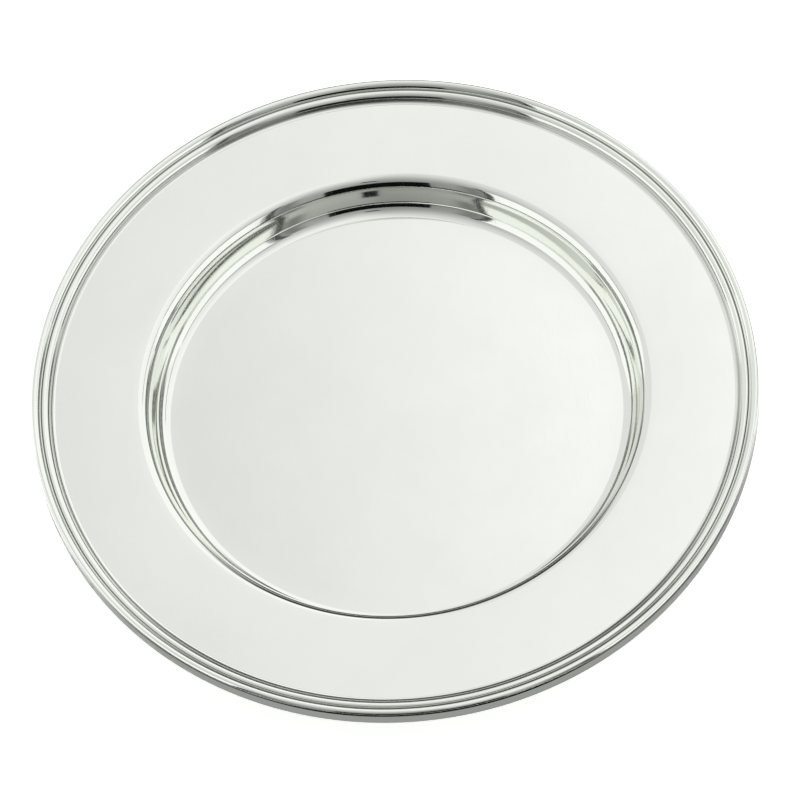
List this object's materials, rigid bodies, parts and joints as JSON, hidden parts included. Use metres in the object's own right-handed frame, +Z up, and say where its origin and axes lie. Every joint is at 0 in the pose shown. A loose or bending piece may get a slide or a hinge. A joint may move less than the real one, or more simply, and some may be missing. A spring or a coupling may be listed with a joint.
{
  "type": "offering plate",
  "caption": "Round polished silver-coloured offering plate with a flat dished well, a wide flat rim and a raised border of rounded reeds.",
  "frame": {"origin": "under the middle of the floor, on the flat face the plate stands on", "axes": "+Z up, along the axis that the plate is turned about; X and Y are any two level directions"},
  "size_m": [0.3, 0.3, 0.0245],
  "materials": {
    "plate_silver": "mirror-polished silver plate with fine circular polishing lines",
    "border_silver": "mirror-polished silver plate, slightly darker in the grooves",
    "wire_steel": "drawn steel wire, satin",
    "soft_solder": "dull as-flowed soft solder"
  },
  "bodies": {
    "root": {"plate_body": "plate_silver", "reeded_border": "border_silver", "edge_wire": "wire_steel", "solder_ring": "soft_solder"}
  },
  "joints": []
}
